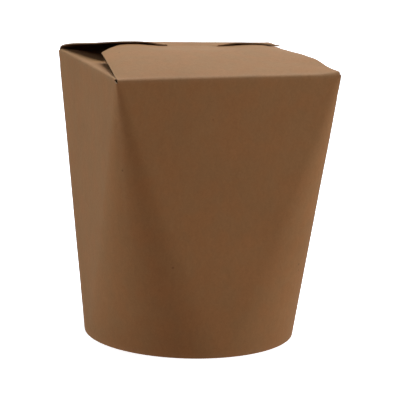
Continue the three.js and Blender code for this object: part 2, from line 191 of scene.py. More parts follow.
@dataclass(frozen=True)
class CartonSizes:
    """Driving sizes of the folded carton, in millimetres."""

    top_width: float
    top_depth: float
    base_diameter: float
    fold_height: float = 110.0
    board: float = 0.45
    fold_radius: float = 0.9
    corner_radius: float = 0.5
    flap_fold_inset: float = 0.6
    side_fold_inset: float = 2.5
    left_web: float = -0.6
    right_web: float = 0.7
    web_height: float = 2.4
    hem_thickness: float = 1.6
    hem_turn: float = 0.45
    hem_squareness: float = 0.5
    hem_height: float = 5.9

    @classmethod
    def from_frame(cls) -> "CartonSizes":
        """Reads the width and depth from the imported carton's box.

        Returns:
            The sizes.
        """
        low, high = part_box("carton")
        depth = -2.0 * low[1] / MM
        return cls(top_width=(high[0] - low[0]) / MM, top_depth=depth, base_diameter=depth)

    @property
    def fold_start(self) -> float:
        """The height where the wall ends and the folds begin."""
        return self.fold_height - self.fold_radius

    def section(self, z: float) -> tuple[float, float, float]:
        """The wall's plan at a height.

        Args:
            z: The height above the table.

        Returns:
            The half width, the half depth and the corner radius.
        """
        fall = (self.fold_height - z) / self.fold_height
        below_fold = max(self.fold_start - z, 0.0) / self.fold_start
        return (
            mix(self.top_width / 2, self.base_diameter / 2, fall),
            mix(self.top_depth / 2, self.base_diameter / 2, fall),
            mix(self.corner_radius, self.base_diameter / 2, below_fold),
        )

    def wall_reach(self, angle: float, z: float) -> float:
        """How far the wall is from the axis.

        Args:
            angle: The direction round the axis, from +X.
            z: The height above the table.

        Returns:
            The distance from the axis to the outer face.
        """
        half_x, half_y, radius = self.section(z)
        across, along = abs(math.cos(angle)), abs(math.sin(angle))
        centre_x, centre_y = half_x - radius, half_y - radius
        if half_x * along <= centre_y * across:
            return half_x / across
        if half_y * across <= centre_x * along:
            return half_y / along
        middle = across * centre_x + along * centre_y
        return middle + math.sqrt(max(middle**2 - centre_x**2 - centre_y**2 + radius**2, 0.0))

    def corner_angle(self) -> float:
        """The direction of the back right-hand top corner."""
        return math.atan2(self.top_depth, self.top_width)


@dataclass(frozen=True)
class Dent:
    """A soft rise or hollow that handling has left in a flap, in millimetres."""

    across: float
    reach: float
    width: float
    length: float
    height: float

    def at(self, x: float, reach: float) -> float:
        """The dent's height at a place across the flap and a distance from its fold."""
        return self.height * bell(x - self.across, self.width) * bell(reach - self.reach, self.length)


@dataclass(frozen=True)
class LidSizes:
    """Sizes of the four flaps and of their lock, in millimetres.

    A ridge is the height that a flap springs up to where the two flaps lock, and a tilt is how much of
    it is lost for each millimetre to the right. A power is how steeply a sag or a hold sets in towards
    the ends of a flap.
    """

    half_width: float = 41.0
    front_taper: float = 0.1227
    front_tip_reach: float = 38.4
    front_arc_radius: float = 50.8
    front_flat_half: float = 12.0
    front_ridge: float = 5.98
    front_tilt: float = 0.028
    front_ridge_reach: float = 48.0
    front_climb: float = 1.7
    front_roll: float = 0.012
    front_left_sag: float = 0.37
    front_right_sag: float = 0.34
    front_left_power: int = 4
    front_right_power: int = 6
    front_reach_power: int = 3
    front_lock_dip: float = 1.1
    front_lock_half: float = 20.0
    front_lock_length: float = 10.0
    front_dents: tuple[Dent, ...] = (
        Dent(-44.0, 6.0, 4.0, 4.0, -0.3),
        Dent(44.5, 1.5, 5.0, 3.5, 0.63),
        Dent(43.0, 11.5, 9.0, 3.5, -0.22),
        Dent(43.0, 20.0, 9.0, 3.5, 0.22),
    )
    back_taper: float = 0.174
    back_ridge: float = 6.78
    back_tilt: float = 0.0286
    back_ridge_reach: float = 48.0
    back_climb: float = 1.25
    back_spring: float = 0.14
    back_spring_length: float = 1.5
    back_left_sag: float = 0.75
    back_left_sag_width: float = 9.0
    back_right_sag: float = 1.6
    back_right_sag_width: float = 8.0
    back_sag_start: float = 7.0
    back_lock_dip: float = 1.7
    back_lock_half: float = 15.3
    back_lock_reach: float = 37.95
    back_lock_length: float = 6.0
    shoulder_reach: float = 36.75
    shoulder_radius: float = 2.5
    tongue_half: float = 10.0
    tongue_length: float = 7.0
    tongue_taper: float = 0.25
    relief_width: float = 0.3
    relief_length: float = 1.6
    slot_y: float = 5.8
    slot_width: float = 1.6
    slot_half: float = 11.0
    lip_lift: float = 0.35
    lip_press: float = 0.55
    lip_softness: float = 0.8
    lip_length: float = 5.0
    tongue_dive: float = 0.62
    dive_softness: float = 0.7
    lock_margin: float = 2.0
    lock_fade: float = 6.0
    clearance: float = 0.15
    side_reach: float = 43.5
    side_taper: float = 6.0
    left_spring: float = 0.55
    left_spring_length: float = 2.5
    right_spring: float = 1.8
    right_spring_length: float = 1.0
    side_fall: float = 7.6
    side_bow: float = 1.5
    side_power: int = 3
    right_back_power: int = 8


@dataclass(frozen=True)
class LapSizes:
    """The glued lap beside the back right-hand corner, in millimetres. Its turn's start is a share."""

    edge_angle: float = math.radians(47.0)
    width: float = 12.0
    ramp: float = 3.0
    lift: float = 0.5
    edge_gap: float = 0.06
    fade_start: float = 9.0
    fade_end: float = 2.0
    turn_start: float = 0.5


@dataclass(frozen=True)
class WearAndHighlightSizes:
    """How scuffed each place of the board is, with a painted highlight along its folds and edges, from 0 to
    1, and how far this reaches, in millimetres.

    The corner's width is an angle round the axis.
    """

    fold: float = 1.0
    turn: float = 0.8
    corner: float = 0.8
    plain: float = 0.2
    corner_width: float = 0.03
    corner_length: float = 75.0
    base_reach: float = 1.5
    wall_reach: float = 1.2
    flap_reach: float = 2.2


@dataclass(frozen=True)
class SheetGrid:
    """The flat sheet's columns and rows, in millimetres or as counts, and the slack in comparing places."""

    column_step: float = 1.5
    corner_columns: int = 8
    turn_rows: int = 5
    fold_rows: int = 5
    wall_step: float = 2.4
    fine_length: float = 4.0
    fine_step: float = 0.8
    flap_rows: int = 40
    tongue_rows: int = 8
    merge: float = 0.004
    gap_margin: float = 3.0
    angle_digits: int = 6
    share_slack: float = 1e-4
    reach_slack: float = 1e-3


@dataclass(frozen=True)
class Unevenness:
    """The slight waves of thin board, in millimetres. They fade out towards the base."""

    seed: int = 3
    scale: float = 0.045
    height: float = 0.10
    fade_start: float = 2.0
    fade_end: float = 30.0

    def at(self, point: Vector) -> Vector:
        """The shift of a point."""
        height = self.height * smooth(self.fade_start, self.fade_end, point.z)
        return noise.noise_vector(point * self.scale) * height


@dataclass
class FoldedBlank:
    """The one sheet of board: wall, hem and four flaps."""

    sizes: CartonSizes
    lid: LidSizes = field(default_factory=LidSizes)
    lap: LapSizes = field(default_factory=LapSizes)
    rubbed_and_highlighted: WearAndHighlightSizes = field(default_factory=WearAndHighlightSizes)
    grid: SheetGrid = field(default_factory=SheetGrid)
    waves: Unevenness = field(default_factory=Unevenness)
    name: str = "folded_board"

    @property
    def slot_reach(self) -> float:
        """The distance in plan from the front wall to the slot's middle."""
        return self.lid.slot_y + self.sizes.top_depth / 2

    def front_rise(self, x: float, y: float) -> float:
        """How high the front flap springs above the folds' level.

        Args:
            x: The point's place across the carton.
            y: Its place from the front to the back.

        Returns:
            The height.
        """
        lid = self.lid
        reach = max(y + self.sizes.top_depth / 2, 0.0)
        climb = 1.0 - (1.0 - min(reach / lid.front_ridge_reach, 1.0)) ** lid.front_climb
        share = min(reach / lid.front_tip_reach, 1.0)
        aside = abs(x) / lid.half_width
        if x < 0.0:
            sag = lid.front_left_sag * aside**lid.front_left_power
        else:
            sag = lid.front_right_sag * aside**lid.front_right_power * share**lid.front_reach_power
        lock_dip = lid.front_lock_dip * plateau(x, lid.front_lock_half)
        lock_dip *= bell(reach - lid.front_ridge_reach, lid.front_lock_length)
        lips = math.tanh((lid.slot_y - y) / lid.lip_softness)
        lips *= lid.lip_lift if y < lid.slot_y else lid.lip_press
        lips *= bell(y - lid.slot_y, lid.lip_length) * plateau(x, lid.slot_half)
        dents = sum(dent.at(x, reach) for dent in lid.front_dents)
        roll = lid.front_roll * max(reach - lid.front_ridge_reach, 0.0) ** 2
        return (lid.front_ridge - lid.front_tilt * x) * climb * (1.0 - sag) - lock_dip - roll + lips + dents

    def back_rise(self, x: float, y: float) -> float:
        """How high the back flap springs above the folds' level, where its tongue dives and its wings lie.

        Args:
            x: The point's place across the carton.
            y: Its place from the front to the back.

        Returns:
            The height.
        """
        lid = self.lid
        reach = max(self.sizes.top_depth / 2 - y, 0.0)
        climb = 1.0 - (1.0 - min(reach / lid.back_ridge_reach, 1.0)) ** lid.back_climb
        climb /= 1.0 - (1.0 - lid.shoulder_reach / lid.back_ridge_reach) ** lid.back_climb
        climb = mix(climb, 1.0 - math.exp(-reach / lid.back_spring_length), lid.back_spring)
        lock_dip = lid.back_lock_dip * plateau(x, lid.back_lock_half)
        lock_dip *= bell(reach - lid.back_lock_reach, lid.back_lock_length)
        sag = lid.back_left_sag * bell(x + lid.half_width, lid.back_left_sag_width)
        sag += lid.back_right_sag * bell(x - lid.half_width, lid.back_right_sag_width)
        sag *= smooth(lid.back_sag_start, lid.shoulder_reach, reach)
        free = (lid.back_ridge - lid.back_tilt * x) * climb - lock_dip - sag
        if reach <= self.sizes.top_depth / 4:
            return free
        below = self.front_rise(x, y)
        locked = below + lid.tongue_dive * math.tanh((y - lid.slot_y) / lid.dive_softness)
        if abs(x) < lid.tongue_half + lid.relief_width / 2 and y < lid.slot_y + lid.relief_length:
            return locked
        wing = max(free, below + self.sizes.board + lid.clearance)
        in_lock = plateau(x, lid.tongue_half + lid.lock_margin)
        in_lock *= 1.0 - smooth(lid.slot_y, lid.slot_y + lid.lock_fade, y)
        return mix(wing, max(locked, below + self.sizes.board + lid.clearance), in_lock)

    def side_rise(self, panel: Panel, share: float, reach: float) -> float:
        """How high a side flap is against the folds' level.

        Args:
            panel: The side that the flap hangs on. The right one springs up more, and most towards the back.
            share: The place across the flap, from -1 to 1. Its ends are held down by the other flaps.
            reach: The distance in plan from the wall's outer face.

        Returns:
            The height: the flap springs up a little and then bows down.
        """
        lid = self.lid
        if panel is Panel.RIGHT:
            spring = lid.right_spring * (1.0 - math.exp(-reach / lid.right_spring_length))
            held = abs(share) ** (lid.right_back_power if share > 0.0 else lid.side_power)
        else:
            spring = lid.left_spring * (1.0 - math.exp(-reach / lid.left_spring_length))
            held = abs(share) ** lid.side_power
        return spring * (1.0 - held) - lid.side_fall * (reach / lid.side_reach) ** lid.side_bow

    def flap_half(self, panel: Panel, reach: float) -> float:
        """Half the width of the front or back flap at a distance from its wall."""
        taper = self.lid.front_taper if panel is Panel.FRONT else self.lid.back_taper
        return self.fold_half(panel) - taper * max(reach - self.sizes.fold_radius, 0.0)

    def front_end(self, share: float) -> float:
        """The front flap's length, with its wide arc of an end.

        Args:
            share: The place across the flap, from -1 to 1.

        Returns:
            The distance in plan from the wall's outer face.
        """
        lid = self.lid
        tip_half = self.flap_half(Panel.FRONT, lid.front_tip_reach)
        centre = lid.front_tip_reach - math.sqrt(lid.front_arc_radius**2 - tip_half**2)
        x = max(abs(share) * tip_half, lid.front_flat_half)
        return centre + math.sqrt(lid.front_arc_radius**2 - x**2)

    def back_end(self, share: float) -> float:
        """The back flap's length without the tongue, with its rounded shoulders.

        Args:
            share: The place across the flap, from -1 to 1.

        Returns:
            The distance in plan from the wall's outer face.
        """
        lid = self.lid
        side_end = lid.shoulder_reach - lid.shoulder_radius
        corner = self.flap_half(Panel.BACK, side_end) - lid.shoulder_radius
        over = min(max(abs(share) * (corner + lid.shoulder_radius) - corner, 0.0), lid.shoulder_radius)
        return side_end + math.sqrt(lid.shoulder_radius**2 - over**2)

    def fold_point(self, out: float) -> tuple[float, float]:
        """Follows the fold from the wall onto the flap.

        Args:
            out: The length along the board from the start of the fold.

        Returns:
            The distance from the wall's outer face, and the height against the folds' level.
        """
        radius = self.sizes.fold_radius
        arc = radius * math.pi / 2
        if out < arc:
            angle = out / radius
            return radius * (1.0 - math.cos(angle)), radius * (math.sin(angle) - 1.0)
        return radius + out - arc, 0.0

    def column_angles(self) -> list[float]:
        """The directions of the sheet's columns, all the way round the axis.

        Each panel has even columns between the ends of its folds, with lines at the slot, the tongue and
        its relief cuts. Each corner has columns round its arc, and the lap has two at its cut edge.

        Returns:
            The angles from the lap's cut edge round to it again, in rising order.
        """
        half_x, half_y, radius = self.sizes.section(self.sizes.fold_start)
        angles: list[float] = []
        for panel in Panel:
            along_half, out = (half_y, half_x) if panel.is_side else (half_x, half_y)
            fold_half = self.fold_half(panel)
            lines = spaced(-fold_half, fold_half, self.grid.column_step)
            for mark in self.marked_shares(panel):
                nearest = min(range(len(lines)), key=lambda i: abs(lines[i] - mark * fold_half))
                lines[nearest] = mark * fold_half
            facing = panel.turn - math.pi / 2
            angles += [facing + math.atan2(line, out) for line in lines]
            for step in range(self.grid.corner_columns + 1):
                arc = step / self.grid.corner_columns * math.pi / 2
                corner_out = out - radius + radius * math.cos(arc)
                corner_along = along_half - radius + radius * math.sin(arc)
                angles.append(facing + math.atan2(corner_along, corner_out))
        start = self.lap.edge_angle
        turned = sorted({round((angle - start) % math.tau, self.grid.angle_digits) for angle in angles})
        gap = self.lap.edge_gap / (self.sizes.base_diameter / 2)
        margin = self.grid.gap_margin * gap
        kept = [angle for angle in turned if margin < angle < math.tau - margin]
        return [start + angle for angle in [0.0, *kept, math.tau - gap, math.tau]]

    def fold_half(self, panel: Panel) -> float:
        """Half the length of a panel's fold.

        Args:
            panel: The panel.

        Returns:
            The distance from the fold's middle to its end.
        """
        if panel.is_side:
            return self.sizes.top_depth / 2 - self.sizes.side_fold_inset
        return self.sizes.top_width / 2 - self.sizes.flap_fold_inset

    def marked_shares(self, panel: Panel) -> list[float]:
        """Where a column has to run along the cuts of a flap.

        Args:
            panel: The panel that the flap hangs on.

        Returns:
            The shares of the flap's half width.
        """
        lid = self.lid
        if panel is Panel.FRONT:
            edge = lid.slot_half / self.flap_half(panel, self.slot_reach)
            return [-edge, edge]
        if panel is Panel.BACK:
            width = self.flap_half(panel, lid.shoulder_reach)
            inner, outer = lid.tongue_half / width, (lid.tongue_half + lid.relief_width) / width
            return [-outer, -inner, inner, outer]
        return []

    def flap_of(self, angle: float) -> tuple[Panel, float] | None:
        """The panel whose flap a column runs on to.

        Args:
            angle: The column's direction round the axis.

        Returns:
            The panel and the share of its fold's half length, or None at a corner.
        """
        top = self.sizes.fold_start
        reach = self.sizes.wall_reach(angle, top)
        for panel in Panel:
            offset = (angle - (panel.turn - math.pi / 2) + math.pi) % math.tau - math.pi
            if abs(offset) < math.pi / 3:
                half_x, half_y, _ = self.sizes.section(top)
                out = half_x if panel.is_side else half_y
                share = reach * math.sin(offset) / self.fold_half(panel)
                is_on_fold = abs(reach * math.cos(offset) - out) < self.grid.reach_slack
                if is_on_fold and abs(share) <= 1.0 + self.grid.share_slack:
                    return panel, share
        return None

    def flap_point(self, panel: Panel, share: float, reach: float, fold_turn: float = 1.0) -> Vector:
        """A point of a flap's outer face.

        Args:
            panel: The panel that the flap hangs on.
            share: The place across the flap, from -1 to 1.
            reach: The distance in plan from the wall's outer face.
            fold_turn: The share of the fold's turn that is done, up to 1 past the fold.

        Returns:
            The point, in millimetres.
        """
        sizes, lid = self.sizes, self.lid
        half_out = (sizes.top_width if panel.is_side else sizes.top_depth) / 2
        out, rise = reach, 0.0
        if fold_turn < 1.0:
            out, rise = self.fold_point(fold_turn * sizes.fold_radius * math.pi / 2)
        if panel.is_side:
            taper = lid.side_taper / lid.side_reach
            along = share * (self.fold_half(panel) - taper * max(reach - sizes.fold_radius, 0.0))
            rise += self.side_rise(panel, share, out)
        else:
            along = share * self.flap_half(panel, reach)
        point = Vector((along, out - half_out, sizes.fold_height + rise))
        point.rotate(Matrix.Rotation(panel.turn, 3, "Z"))
        if panel is Panel.FRONT:
            point.z += self.front_rise(point.x, point.y) * min(out / sizes.fold_radius, 1.0)
        if panel is Panel.BACK:
            point.z += self.back_rise(point.x, point.y) * min(out / sizes.fold_radius, 1.0)
        return point

    def lap_lift(self, angle: float, z: float) -> float:
        """How far the back panel rides up over the tab below it.

        Args:
            angle: The column's direction round the axis.
            z: The height above the table.

        Returns:
            The distance outwards.
        """
        lap = self.lap
        turn = (angle - lap.edge_angle) % math.tau
        distance = turn * self.sizes.wall_reach(angle, z)
        if turn > math.pi or distance > lap.width + lap.ramp:
            return 0.0
        folds = self.sizes.fold_height
        top_fade = 1.0 - smooth(folds - lap.fade_start, folds - lap.fade_end, z)
        return lap.lift * (1.0 - smooth(lap.width, lap.width + lap.ramp, distance)) * top_fade

    def web_rise(self, angle: float, z: float) -> float:
        """How far the web between two folds stands above or below their start, at the front corners.

        Args:
            angle: The column's direction round the axis.
            z: The height above the table.

        Returns:
            The rise, below 0 at the left corner.
        """
        sizes = self.sizes
        if math.sin(angle) > 0.0:
            return 0.0
        top = sizes.fold_start
        rise = sizes.right_web if math.cos(angle) > 0.0 else sizes.left_web
        return rise * smooth(top - sizes.web_height, top, z)

    def row_stations(self) -> list[tuple[str, float]]:
        """The rows of the sheet, from the inner end of the turned base edge up to the tongue's end.

        Returns:
            For each row, the stretch of the board that it lies on and its place there: an angle on the
            turn, a height on the wall, and a share on a fold, a flap or the tongue.
        """
        sizes, grid = self.sizes, self.grid
        turn = [("turn", share) for share in spaced(0.0, 1.0, 1.0 / grid.turn_rows)]
        low, high = sizes.hem_turn, sizes.fold_start
        fine = high - grid.fine_length
        heights = spaced(low, fine, grid.wall_step)[1:] + spaced(fine, high, grid.fine_step)[1:]
        wall = [("wall", z) for z in heights]
        fold = [("fold", share) for share in spaced(0.0, 1.0, 1.0 / grid.fold_rows)[1:-1]]
        flap = [("flap", share) for share in spaced(0.0, 1.0, 1.0 / grid.flap_rows)]
        tongue = [("tongue", share) for share in spaced(0.0, 1.0, 1.0 / grid.tongue_rows)[1:]]
        return turn + wall + fold + flap + tongue

    def flap_reach(self, panel: Panel, share: float, station: float) -> float:
        """How far from the wall a row crosses a flap.

        Args:
            panel: The panel that the flap hangs on.
            share: The place across the flap, from -1 to 1.
            station: The row's share of the flap's length.

        Returns:
            The distance in plan from the wall's outer face.
        """
        start = self.sizes.fold_radius
        if panel.is_side:
            return mix(start, self.lid.side_reach, station)
        end = self.front_end(share) if panel is Panel.FRONT else self.back_end(share)
        middle_end = self.front_end(0.0) if panel is Panel.FRONT else self.back_end(0.0)
        marks = [(mark - start) / (middle_end - start) for mark in self.marked_reaches(panel)]
        for mark in marks:
            if abs(station - mark) < 0.5 / self.grid.flap_rows:
                station = mark
                break
        return mix(start, end, station)

    def marked_reaches(self, panel: Panel) -> list[float]:
        """Where a row has to run along the cuts of a flap.

        Args:
            panel: The panel that the flap hangs on.

        Returns:
            The distances in plan from the wall's outer face.
        """
        lid = self.lid
        if panel is Panel.FRONT:
            return [self.slot_reach - lid.slot_width / 2, self.slot_reach + lid.slot_width / 2]
        if panel is Panel.BACK:
            return [lid.shoulder_reach - lid.relief_length]
        return []

    def place(self, angle: float, station: tuple[str, float]) -> Vector:
        """Folds one point of the flat sheet into the shut carton.

        Args:
            angle: The column's direction round the axis.
            station: The row, as row_stations gives it.

        Returns:
            The point, in millimetres.
        """
        sizes, lid = self.sizes, self.lid
        stretch, value = station
        if stretch == "turn":
            half, turn = sizes.hem_thickness / 2, sizes.hem_turn
            reach = sizes.wall_reach(angle, turn)
            lift = self.lap_lift(angle, turn) * smooth(self.lap.turn_start, 1.0, value)
            across, down = math.cos(math.pi * (1.0 - value)), math.sin(math.pi * (1.0 - value))
            square_across = math.copysign(abs(across) ** sizes.hem_squareness, across)
            radial = reach - half + (half + lift) * square_across
            z = turn * (1.0 - max(down, 0.0) ** sizes.hem_squareness)
            return Vector((radial * math.cos(angle), radial * math.sin(angle), z))
        flap = self.flap_of(angle)
        if stretch == "wall" or flap is None:
            z = value if stretch == "wall" else sizes.fold_start
            if flap is None:
                z += self.web_rise(angle, z)
            reach = sizes.wall_reach(angle, z) + self.lap_lift(angle, z)
            return Vector((reach * math.cos(angle), reach * math.sin(angle), z))
        panel, share = flap
        if stretch == "fold":
            return self.flap_point(panel, share, 0.0, value)
        if stretch == "flap":
            return self.flap_point(panel, share, self.flap_reach(panel, share, value))
        reach = lid.shoulder_reach + value * lid.tongue_length
        return self.flap_point(panel, share * (1.0 - lid.tongue_taper * value), reach)

    def is_cut_away(self, columns: tuple[float, float], rows: tuple[tuple[str, float], ...]) -> bool:
        """Whether a cell of the sheet is not board: a corner, a slot, a relief cut or beyond a flap's end.

        Args:
            columns: The directions of the cell's two columns.
            rows: The cell's two rows.

        Returns:
            True for a cell that is cut away.
        """
        if rows[1][0] in ("turn", "wall"):
            return False
        flaps = [self.flap_of(angle) for angle in columns]
        if None in flaps or flaps[0][0] is not flaps[1][0]:
            return True
        panel = flaps[0][0]
        share = (flaps[0][1] + flaps[1][1]) / 2
        lid = self.lid
        if rows[1][0] == "tongue":
            is_beside = abs(share) > lid.tongue_half / self.flap_half(panel, lid.shoulder_reach)
            return panel is not Panel.BACK or is_beside
        if rows[0][0] != "flap":
            return False
        reach = sum(self.flap_reach(panel, share, row[1]) for row in rows) / 2
        if panel is Panel.FRONT:
            in_slot = abs(reach - self.slot_reach) < lid.slot_width / 2
            return in_slot and abs(share) * self.flap_half(panel, self.slot_reach) < lid.slot_half
        if panel is Panel.BACK:
            across = abs(share) * self.flap_half(panel, lid.shoulder_reach)
            in_relief = lid.tongue_half < across < lid.tongue_half + lid.relief_width
            return in_relief and reach > lid.shoulder_reach - lid.relief_length
        return False

    def build(self) -> bmesh.types.BMesh:
        """Lays out the sheet as a flat grid, cuts it and folds it up.

        Returns:
            The folded sheet, one layer thick, with its outer face out.
        """
        noise.seed_set(self.waves.seed)
        angles, stations = self.column_angles(), self.row_stations()
        columns, rows = len(angles) - 1, len(stations) - 1
        mesh = bmesh.new()
        bmesh.ops.create_grid(mesh, x_segments=columns, y_segments=rows, size=0.5)
        wear_and_highlight = mesh.verts.layers.float.new(WEAR_AND_HIGHLIGHT_LAYER)
        cells = {}
        for vertex in mesh.verts:
            cells[vertex] = (round((vertex.co.x + 0.5) * columns), round((vertex.co.y + 0.5) * rows))
        waste = []
        for face in mesh.faces:
            spots = [cells[vertex] for vertex in face.verts]
            left, low = min(spot[0] for spot in spots), min(spot[1] for spot in spots)
            if self.is_cut_away((angles[left], angles[left + 1]), (stations[low], stations[low + 1])):
                waste.append(face)
        for vertex, (column, row) in cells.items():
            vertex.co = self.place(angles[column], stations[row])
            # Paler along folds and edges: scuffing and a painted highlight.
            vertex[wear_and_highlight] = self.wear_and_highlight_at(angles[column], stations[row], vertex.co)
            vertex.co += self.waves.at(vertex.co)
        bmesh.ops.delete(mesh, geom=waste, context="FACES")
        bmesh.ops.remove_doubles(mesh, verts=mesh.verts[:], dist=self.grid.merge)
        return in_metres(mesh, is_closed=False)

    def wear_and_highlight_at(self, angle: float, station: tuple[str, float], point: Vector) -> float:
        """How scuffed the board is, with a painted highlight on its folds and edges: most along the folds and
        the sharp top of each corner.

        Args:
            angle: The column's direction round the axis.
            station: The row, as row_stations gives it.
            point: The folded point, in millimetres. It is not used.

        Returns:
            The scuffing and painted highlight, from 0 to 1.
        """
        sizes, rubbed_and_highlighted = self.sizes, self.rubbed_and_highlighted
        stretch, value = station
        start = sizes.fold_start
        if stretch == "fold":
            return rubbed_and_highlighted.fold
        if stretch == "turn":
            return rubbed_and_highlighted.turn
        if stretch == "wall":
            corner, turned = sizes.corner_angle(), angle % math.pi
            width = rubbed_and_highlighted.corner_width
            near_corner = max(bell(turned - corner, width), bell(turned - (math.pi - corner), width))
            sharp = rubbed_and_highlighted.corner * near_corner * smooth(start - rubbed_and_highlighted.corner_length, start, value)
            by_fold = smooth(start - rubbed_and_highlighted.wall_reach, start, value)
            return max(by_fold, sharp, bell(value, rubbed_and_highlighted.base_reach))
        flap = self.flap_of(angle)
        if flap is None or stretch == "tongue":
            return rubbed_and_highlighted.plain
        reach = self.flap_reach(flap[0], flap[1], value)
        return rubbed_and_highlighted.fold - smooth(sizes.fold_radius, sizes.fold_radius + rubbed_and_highlighted.flap_reach, reach)


@dataclass
class BaseHem:
    """The board turned up inside the base, pressed into fine ribs by the rolling tool."""

    sizes: CartonSizes
    ribs: int = 96
    steps_per_rib: int = 6
    rib_depth: float = 0.16
    rib_foot: float = 1.2
    rib_head: float = 1.0
    row_step: float = 0.65
    start: float = 0.7
    name: str = "base_hem"

    def build(self) -> bmesh.types.BMesh:
        """Spins the hem's flat section round the axis and presses the ribs into its inner face.

        Returns:
            The closed ring.
        """
        sizes = self.sizes
        inner = sizes.base_diameter / 2 - sizes.hem_thickness
        heights = spaced(self.start, sizes.hem_height, self.row_step)
        section = [(inner, z) for z in heights] + [(inner + sizes.board, z) for z in reversed(heights)]
        mesh = spun(section, self.ribs * self.steps_per_rib, is_ring=True)
        for vertex in mesh.verts:
            radius = math.hypot(vertex.co.x, vertex.co.y)
            if radius < inner + sizes.board / 2:
                angle = math.atan2(vertex.co.y, vertex.co.x)
                span = smooth(self.start, self.start + self.rib_foot, vertex.co.z)
                span *= 1.0 - smooth(sizes.hem_height - self.rib_head, sizes.hem_height, vertex.co.z)
                press = self.rib_depth * span * (0.5 + 0.5 * math.cos(self.ribs * angle))
                vertex.co.xy *= (radius + press) / radius
        return in_metres(mesh, is_closed=True)


@dataclass
class BaseDisc:
    """The round base, crowned a little upwards, with a soft bend where it meets the hem."""

    sizes: CartonSizes
    thickness: float = 0.6
    crown: float = 0.5
    crown_share: float = 0.85
    bend: float = 0.5
    bend_steps: int = 4
    rim_gap: float = 0.05
    ring_step: float = 1.6
    turn_steps: int = 128
    name: str = "base_disc_board"

    def build(self) -> bmesh.types.BMesh:
        """Spins the disc's section round the axis.

        Returns:
            The closed disc.
        """
        low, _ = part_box("base_disc")
        bottom = low[2] / MM
        radius = self.sizes.base_diameter / 2 - self.sizes.hem_thickness - self.rim_gap
        below, above = [], []
        for out in spaced(0.0, radius - self.bend, self.ring_step):
            rise = self.crown * (1.0 - smooth(0.0, radius * self.crown_share, out))
            below.append((out, bottom + rise))
            above.append((out, bottom + rise + self.thickness))
        for step in range(1, self.bend_steps + 1):
            arc = step / self.bend_steps * math.pi / 2
            out = radius - self.bend + self.bend * math.sin(arc)
            below.append((out, bottom + self.bend * (1.0 - math.cos(arc))))
        mesh = spun(below + above[::-1], self.turn_steps, is_ring=False)
        return in_metres(mesh, is_closed=True)


class ShaderSketch:
    """A small helper that adds and joins the nodes of one node tree."""

    def __init__(self, tree: bpy.types.NodeTree) -> None:
        """Starts on a tree."""
        self.tree = tree

    def fill(self, node: bpy.types.Node, inputs: dict[int | str, object]) -> None:
        """Gives a node's inputs their values.

        Args:
            node: The node.
            inputs: The values by name or number. A socket is joined, and anything else is set.
        """
        for key, value in inputs.items():
            if isinstance(value, bpy.types.NodeSocket):
                self.tree.links.new(value, node.inputs[key])
            else:
                node.inputs[key].default_value = value

    def add(
        self, kind: str, inputs: dict[int | str, object] | None = None, **settings: object
    ) -> bpy.types.Node:
        """Adds a node.

        Args:
            kind: The node's type.
            inputs: The values of its inputs, as fill takes them.
            settings: Its properties.

        Returns:
            The node.
        """
        node = self.tree.nodes.new(kind)
        for key, value in settings.items():
            setattr(node, key, value)
        self.fill(node, inputs or {})
        return node

    def math(self, operation: str, first: object, second: object) -> bpy.types.NodeSocket:
        """The result of a Math node."""
        return self.add("ShaderNodeMath", {0: first, 1: second}, operation=operation).outputs[0]

    def blend(self, factor: object, first: object, second: object, kind: str = "MIX") -> bpy.types.NodeSocket:
        """The result of a colour Mix node."""
        inputs = {0: factor, 6: first, 7: second}
        return self.add("ShaderNodeMix", inputs, data_type="RGBA", blend_type=kind).outputs[2]

    def remap(
        self, value: object, span: tuple[float, float], ends: tuple[float, float]
    ) -> bpy.types.NodeSocket:
        """A clamped Map Range from a span of values to the wanted ends."""
        limits = zip(("From Min", "From Max", "To Min", "To Max"), (*span, *ends))
        return self.add("ShaderNodeMapRange", {"Value": value, **dict(limits)}, clamp=True).outputs["Result"]

    def noise(
        self, vector: object, scale: float, detail: float, roughness: float = 0.55
    ) -> bpy.types.NodeSocket:
        """The value of a Noise Texture."""
        inputs = {"Vector": vector, "Scale": scale, "Detail": detail, "Roughness": roughness}
        return self.add("ShaderNodeTexNoise", inputs).outputs["Fac"]


